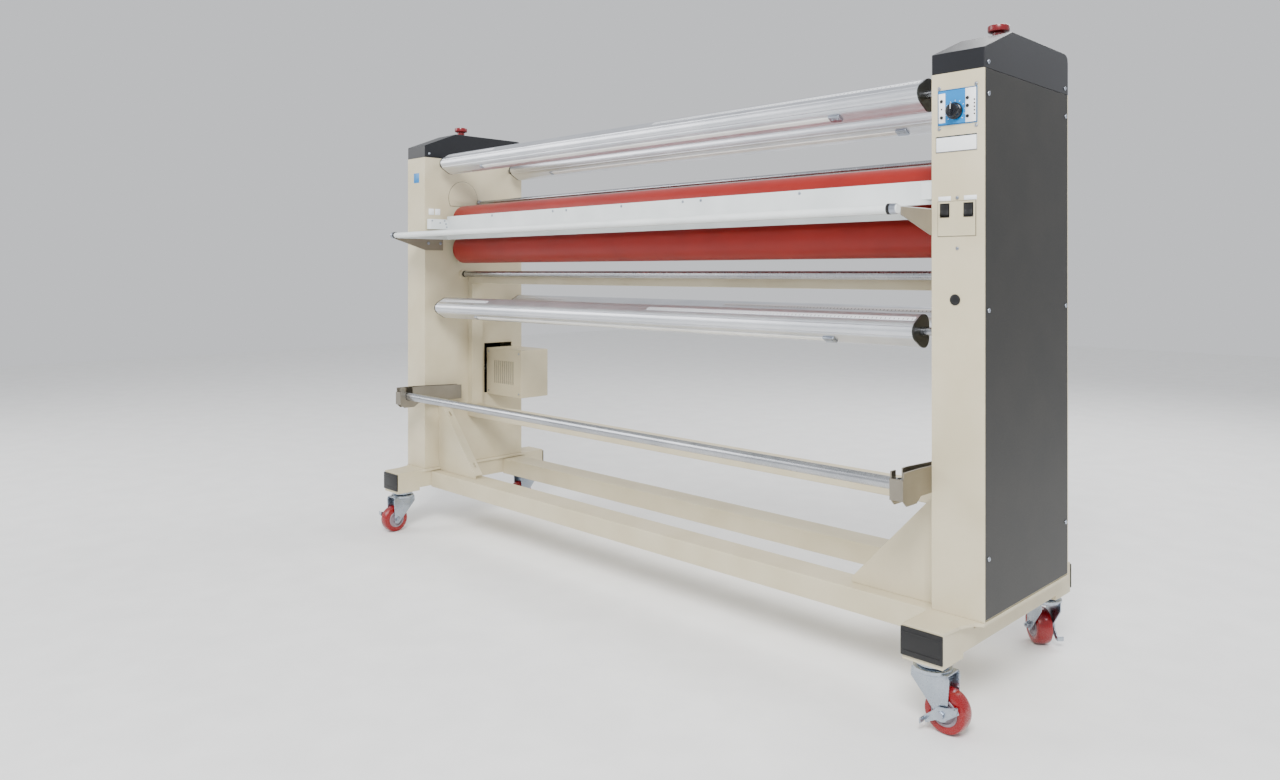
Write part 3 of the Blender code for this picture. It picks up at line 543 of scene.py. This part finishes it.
def on_flank(shape, roll):
    """Rolls a shape that was built above the shaft about X, onto one of its flanks."""
    return turned(shape, (math.radians(roll), 0, 0))


def ranked(shape, count, step):
    """The shape repeated by an array modifier that is applied."""
    start_clean()
    shape.select_set(True)
    bpy.context.view_layer.objects.active = shape
    bpy.ops.object.modifier_add(type="ARRAY")
    array = shape.modifiers[-1]
    array.count = count
    array.use_relative_offset = False
    array.use_constant_offset = True
    array.constant_offset_displace = step
    bpy.ops.object.modifier_apply(modifier=array.name)
    return shape


strip = block((-0.640, -0.0060, FLANK - 0.0010), (0.632, 0.0060, FLANK + 0.0030), 0.0018, 3)
strip = on_flank(strip, STRIP_ROLL)
clip_plate = block((0.632, -0.0100, FLANK - 0.0010), (0.660, 0.0100, FLANK + 0.0052), 0.0014, 3)
clip_screws = row(screw("Z", 1, (0.6400, 0, FLANK + 0.0052), 0.0028, 0.0012), [(0.012, 0, 0)])
hook = block((-0.652, -0.0070, FLANK - 0.0010), (-0.640, 0.0070, FLANK + 0.0040), 0.0014, 3)
clip = on_flank(joined(clip_plate, clip_screws, hook), STRIP_ROLL)
right_tape = block((0.100, -0.0065, FLANK + 0.0002), (0.844, 0.0065, FLANK + 0.0009), 0.0001, 1)
left_tape = block((-0.844, -0.0065, FLANK + 0.0002), (-0.590, 0.0065, FLANK + 0.0009), 0.0001, 1)
tape = on_flank(joined(right_tape, left_tape), SCALE_ROLL)
right_tick = block((0.108, -0.0050, FLANK + 0.0006), (0.1095, 0.0000, FLANK + 0.0011), 0.0001, 1)
left_tick = block((-0.838, -0.0050, FLANK + 0.0006), (-0.8365, 0.0000, FLANK + 0.0011), 0.0001, 1)
ticks = joined(ranked(right_tick, 74, TICK_STEP), ranked(left_tick, 25, TICK_STEP))
ticks = on_flank(ticks, SCALE_ROLL)
for name, centre in CORE_SHAFTS.items():
    for part, shape, finish, slot, node in (
        ("profile", profile_body, aluminium, "aluminium_profile", [f"{name}_core_shaft"]),
        ("end_plates", end_plates, end_black, None, []),
        ("pins", pins, turned_steel, "steel_turned", []),
        ("grip_strip", strip, grip_white, None, []),
        ("grip_clip", clip, zinc, None, []),
        ("scale_tape", tape, film, None, []),
        ("scale_ticks", ticks, ink, None, []),
    ):
        piece(copy_of(shape, centre), f"{name}_{part}", finish, f"{name}_core_shaft_body", node)
thrown_away(profile_body, end_plates, pins, strip, clip, tape, ticks)

# The feed table: a folded sheet tray in white powder coat with a round nose bar along its front, on
# a bolted bracket at each wall.
white_coat = powder_coat("white polyester powder coat, smooth", ("E2E6E6", "D6DBDB"), (0.30, 0.42))
bracket_coat = powder_coat("warm grey powder coat on brackets", ("8A8170", "7C7363"), (0.36, 0.48))
dress(["feed_table"], white_coat, 0.0006)
dress(["left_table_bracket", "right_table_bracket"], bracket_coat, 0.0006)
for side, sign in SIDES:
    bolt = screw("X", -sign, at(sign * 0.8910, 0.011, 0.738), 0.0050, 0.0034)
    piece(row(bolt, [(0, 0.046, 0)]), f"{side}_table_bolts", zinc)

for side, sign in SIDES:
    nose_end = at(0, -0.120, 0.760)
    spacer = [(0.0095, 0.8715), (0.0104, 0.8720), (0.0104, 0.8770), (0.0095, 0.8775)]
    piece(lathe("X", nose_end, [(r, sign * x) for r, x in spacer]), f"{side}_nose_spacer", black)
    nose_nut = [(0.0096, 0.8776), (0.0102, 0.8784), (0.0102, 0.8890), (0.0092, 0.8900), (0.0060, 0.8900),
                (0.0060, 0.8925)]
    piece(lathe("X", nose_end, [(r, sign * x) for r, x in nose_nut], 12), f"{side}_nose_nut", zinc)

# The nip guard: a white powder-coated panel in front of the rollers, screwed along its top edge, on
# two white cheek blocks that tilt about pins in the walls.
dress(["nip_guard"], white_coat, 0.0008)
guard_screw = screw("Y", -1, at(0.539, 0.0700, 0.8200), 0.0036, 0.0018)
steps = [(x - 0.539, 0, 0) for x in (0.245, 0.185, -0.038, -0.265, -0.325, -0.621)]
piece(row(guard_screw, steps), "guard_panel_screws", zinc, "nip_guard_body")
cheek_screws = []
for side, sign in SIDES:
    for y, z in ((0.0590, 0.8120), (0.0640, 0.8020), (0.0670, 0.7915), (0.0420, 0.8050), (0.0120, 0.8110)):
        cheek_screws.append(screw("X", -sign, at(sign * 0.870, y, z), 0.0028, 0.0014))
piece(joined(*cheek_screws), "guard_cheek_screws", zinc, "nip_guard_body")

# The idler under the rollers and the guide bar near the floor: ground steel tubes on bearings, with
# black end rings. The guide bar lies in the slots of two bolted brackets.
for name, node, radius, body in (("idler", "idler_bar", 0.0098, "idler_body"),
                                 ("guide_bar", "lower_guide_bar", 0.0120, "guide_bar_body")):
    low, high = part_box(node)
    middle = (low + high) / 2
    half = high.x - middle.x
    tube = lathe("X", middle, [(radius - 0.0012, -half), (radius, 0.0012 - half), (radius, half - 0.0012),
                               (radius - 0.0012, half)], 64)
    piece(tube, f"{name}_tube", turned_steel, body, [node])
    ring = [(radius - 0.0008, 0), (radius + 0.0008, 0.0003), (radius + 0.0008, 0.0060), (radius, 0.0066)]
    left_ring = lathe("X", middle + Vector((0.0160 - half, 0, 0)), ring)
    right_ring = lathe("X", middle + Vector((half - 0.0160, 0, 0)), [(r, -x) for r, x in ring])
    piece(joined(left_ring, right_ring), f"{name}_end_rings", end_black, body)
brushed = metal("brushed stainless sheet", ("9A9488", "8A8478"), (0.30, 0.46), (1, 0.03, 1), 0.0018, 0.06)
dress(["left_bar_bracket", "right_bar_bracket"], brushed, 0.0006)
for side, sign in SIDES:
    low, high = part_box(f"{side}_bar_bracket")
    bolt_place = Vector((sign * 0.8920, FRONT + 0.071, (low.z + high.z) / 2 - 0.0115))
    bolt = screw("X", -sign, bolt_place, 0.0042, 0.0030)
    piece(row(bolt, [(0, 0.038, 0), (0, 0, 0.023), (0, 0.038, 0.023)]), f"{side}_bar_bracket_bolts", black)

# The control panel on the right tower's front: a blue printed overlay on a steel plate, with white
# printed fields, a dark printed border and four corner screws.
blue = plastic("blue printed polyester overlay, fine grain", ("0E7FC4", "0B76B8"), (0.28, 0.40), 0.0007, 0.03)
printed_white = plastic("white printed field on the overlay", ("F2F4F5", "E9ECEE"), (0.35, 0.45), 0.0007,
                        0.02)
printed_dark = plastic("dark blue printed line", ("071420", "050F18"), (0.35, 0.45), 0.0007, 0.02)
dress(["control_panel"], blue, 0.0003)
low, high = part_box("control_panel")
FACE = low.y
KNOB_X, KNOB_Z, DIAL_RADIUS = 0.9435, 0.946, 0.0202
printed_top = FACE - 0.0003
fields = [((0.0018, 0.0050), (0.0152, 0.0605)), ((0.0552, 0.0018), (0.0762, 0.0652))]
shapes = [block((low.x + a[0], FACE, low.z + a[1]), (low.x + b[0], printed_top, low.z + b[1]), 0.0001, 1)
          for a, b in fields]
for step in range(11):
    angle = math.radians(-45 + 27 * step)
    tick = block((-0.0022, FACE, -0.0004), (0.0010, printed_top, 0.0004), 0.0001, 1)
    across, up = DIAL_RADIUS * math.cos(angle), DIAL_RADIUS * math.sin(angle)
    shapes.append(turned(tick, (0, -angle, 0), (KNOB_X + across, 0, BASE + KNOB_Z + up)))
piece(joined(*shapes), "panel_white_print", printed_white)
edges = [((0.0008, 0.0008), (0.0772, 0.0016)), ((0.0008, 0.0654), (0.0772, 0.0662)),
         ((0.0008, 0.0008), (0.0016, 0.0662)), ((0.0764, 0.0008), (0.0772, 0.0662))]
shapes = [block((low.x + a[0], FACE, low.z + a[1]), (low.x + b[0], printed_top, low.z + b[1]), 0.0001, 1)
          for a, b in edges]
piece(joined(*shapes), "panel_border_print", printed_dark)
corner = screw("Y", -1, at(0.9110, -0.0003, 0.9925), 0.0034, 0.0018)
piece(row(corner, [(0.0730, 0, 0), (0, 0, -0.0770), (0.0730, 0, -0.0770)]), "panel_screws", zinc)

# The speed knob: a black phenolic skirt with a raised grip bar and a white pointer line. The push
# buttons are black caps, and small lamps show the speed step.
knob_place = at(KNOB_X, 0, KNOB_Z)
skirt = lathe("Y", knob_place, [
    (0.0152, -0.0026), (0.0158, -0.0034), (0.0158, -0.0080), (0.0148, -0.0092), (0.0132, -0.0100),
    (0.0126, -0.0170), (0.0118, -0.0184), (0.0100, -0.0190)], 64)
grip = block(knob_place + Vector((-0.0026, -0.0215, -0.0125)), knob_place + Vector((0.0026, -0.0120, 0.0125)),
             0.0012, 3)
knob_stem = lathe("Y", knob_place, [(0.0034, 0.0120), (0.0038, 0.0114), (0.0038, -0.0030)], 24)
knob_black = plastic("blue-black phenolic, polished", ("080C16", "05080F"), (0.22, 0.34), 0.0014, 0.03)
piece(joined(skirt, grip, knob_stem), "knob_cap", knob_black, "knob_body", ["speed_knob"])
pointer = block(knob_place + Vector((-0.0005, -0.0218, 0.0020)),
                knob_place + Vector((0.0005, -0.0214, 0.0118)), 0.0001, 1)
piece(pointer, "knob_pointer", printed_white, "knob_body")
BUTTONS = {  # name: place across and up
    "start": (0.9165, 0.967),
    "stop": (0.9165, 0.936),
    "up": (0.968, 0.968),
    "down": (0.968, 0.9535),
    "mode": (0.968, 0.934),
}
for name, (x, z) in BUTTONS.items():
    cap = [(0.0044, 0.0040), (0.0045, 0.0036), (0.0045, 0.0012), (0.0031, 0.0008), (0.0031, -0.0034),
           (0.0029, -0.0039), (0.0024, -0.0041), (0.0018, -0.0038)]
    piece(lathe("Y", at(x, 0, z), cap, 32), f"{name}_button_cap", black, f"{name}_button_body",
          [f"{name}_button"])
lamp_red = plastic("red moulded lamp lens", ("3A0A14", "2C0810"), (0.15, 0.25), 0.0012, 0.03, Coat_Weight=0.4)
lens = [(0.0016, 0.0), (0.0016, -0.0006), (0.0012, -0.0011), (0.0006, -0.0013)]
column = row(lathe("Y", at(0.9815, -0.0020, 0.937), [(0.95 * r, y) for r, y in lens], 20),
             [(0, 0, 0.0066 * step) for step in range(1, 5)])
piece(joined(lathe("Y", at(0.9165, -0.0020, 0.952), lens, 20), column), "panel_lamps", lamp_red)

# Under the panel, a blank nameplate with a dark line along its top and bottom.
plate = block(at(0.904, -0.0010, 0.870), at(0.986, -0.0001, 0.901), 0.0004)
piece(plate, "nameplate", printed_white)
lines = [block(at(0.9042, -0.0013, 0.8984), at(0.9858, -0.0009, 0.9008), 0.0001, 1),
         block(at(0.9042, -0.0013, 0.8702), at(0.9858, -0.0009, 0.8716), 0.0001, 1),
         block(at(0.9042, -0.0013, 0.8702), at(0.9050, -0.0009, 0.9008), 0.0001, 1),
         block(at(0.9850, -0.0013, 0.8702), at(0.9858, -0.0009, 0.9008), 0.0001, 1)]
piece(joined(*lines), "nameplate_lines", printed_dark)

# The switch plate: grey moulded plastic with two black rocker switches, each key in a raised frame,
# a blank white label over each and a screw over and under the plate.
switch_grey = plastic("light warm grey moulded ABS, satin", ("CBC2A6", "C2B89A"), (0.38, 0.5))
dress(["switch_plate"], switch_grey, 0.0004)
low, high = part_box("switch_plate")
gasket = block((low.x - 0.0006, low.y + 0.0006, low.z - 0.0006),
               (high.x + 0.0006, FRONT, high.z + 0.0006), 0.0001, 1)
piece(gasket, "switch_gasket", black)
for name, x_low, x_high in (("heater", 0.914, 0.931), ("power", 0.961, 0.978)):
    key = [(-0.0058, 0.7508), (-0.0046, 0.7560), (-0.0036, 0.7610), (-0.0036, 0.7660), (-0.0040, 0.7712),
           (0.0078, 0.7698), (0.0078, 0.7522)]
    shape = stamped([(-y, z) for y, z in key], x_low, x_high, 0.0005)
    turned(shape, (0, 0, -math.pi / 2), at(0, 0, 0))
    piece(shape, f"{name}_rocker_key", black, f"{name}_rocker_body", [f"{name}_rocker"])
    left, right = x_low - 0.0009, x_high + 0.0009
    bars = [((left, 0.7486), (x_low - 0.0003, 0.7734)), ((x_high + 0.0003, 0.7486), (right, 0.7734)),
            ((left, 0.7720), (right, 0.7734))]
    frame_bars = [block(at(a[0], -0.0026, a[1]), at(b[0], 0.0020, b[1]), 0.0002) for a, b in bars]
    frame_bars.append(block(at(left, -0.0026, 0.7468), at(right, -0.0018, 0.7484), 0.0002))
    piece(joined(*frame_bars), f"{name}_rocker_frame", black)
labels = block(at(0.9090, -0.0004, 0.7785), at(0.9340, -0.0001, 0.7870), 0.0001, 1)
piece(row(labels, [(0.0510, 0, 0)]), "switch_labels", printed_white)
switch_screws = row(screw("Y", -1, at(0.9470, -0.0001, 0.7835), 0.0034, 0.0018), [(0, 0, -0.0950)])
piece(switch_screws, "switch_screws", zinc)

# A black snap-in plug closes the unused cable hole in the right tower's front, and a blank blue badge
# and two blank safety plates sit on the left tower.
plug = lathe("Y", at(0.9425, 0, 0.592), [
    (0.0100, -0.0001), (0.0105, -0.0008), (0.0100, -0.0018), (0.0080, -0.0026), (0.0050, -0.0029)], 40)
piece(plug, "right_hole_plug", black)
badge = block(at(-0.962, -0.0006, 0.938), at(-0.930, -0.0001, 0.970), 0.0003)
piece(badge, "left_front_badge", blue)
plates = row(block(at(-WALL_X, 0.014, 0.832), at(0.0006 - WALL_X, 0.034, 0.852), 0.0002, 1), [(0, 0.024, 0)])
piece(plates, "left_wall_plates", printed_white)

# The studio: a pale floor, a light sky and three soft lamps. The camera stands level to the front
# right, at a seated person's eye height, and is shifted down onto the machine.
start_clean()
bpy.ops.mesh.primitive_plane_add(size=16, location=(0, 1.0, -0.0005))
floor = bpy.context.object
floor.name = "studio_floor"


def fibres(tree, place):
    return add(tree, "ShaderNodeTexNoise", {"Vector": place, "Scale": 700.0, "Detail": 2.0}).outputs["Fac"]


floor.data.materials.append(
    finish_of("pale studio paper, matt", ("F0F0EF", "F5F5F4"), {"IOR": 1.4}, (0.80, 0.92), fibres, 0.02))
world = bpy.data.worlds.new("studio")
bpy.context.scene.world = world
world.use_nodes = True
world.node_tree.nodes["Background"].inputs["Color"].default_value = rgb("F4F6FA")
world.node_tree.nodes["Background"].inputs["Strength"].default_value = 0.85
LAMPS = {  # name: place, aim, power in watts, size
    "key": ((2.4, -3.0, 3.6), (0.2, 0.0, 0.7), 290, 1.6),
    "fill": ((-3.4, -2.8, 2.6), (-0.3, 0.0, 0.7), 90, 2.4),
    "back": ((0.4, 3.2, 3.4), (0.0, 0.0, 0.9), 120, 2.4),
}
for lamp_name, (place, aim, power, size) in LAMPS.items():
    lamp = bpy.data.lights.new(lamp_name, "AREA")
    lamp.energy = power
    lamp.size = size
    lamp_object = bpy.data.objects.new(lamp_name, lamp)
    bpy.context.scene.collection.objects.link(lamp_object)
    lamp_object.location = place
    lamp_object.rotation_euler = (Vector(aim) - Vector(place)).to_track_quat("-Z", "Y").to_euler()

camera = bpy.data.cameras.new("camera")
camera.lens = 26.3
camera.sensor_width = 36
camera.shift_y = -0.0925
camera_object = bpy.data.objects.new("camera", camera)
bpy.context.scene.collection.objects.link(camera_object)
camera_object.location = at(1.771, -1.656, 0.645)
camera_object.rotation_euler = (math.pi / 2, 0, math.radians(45.2))
bpy.context.scene.camera = camera_object
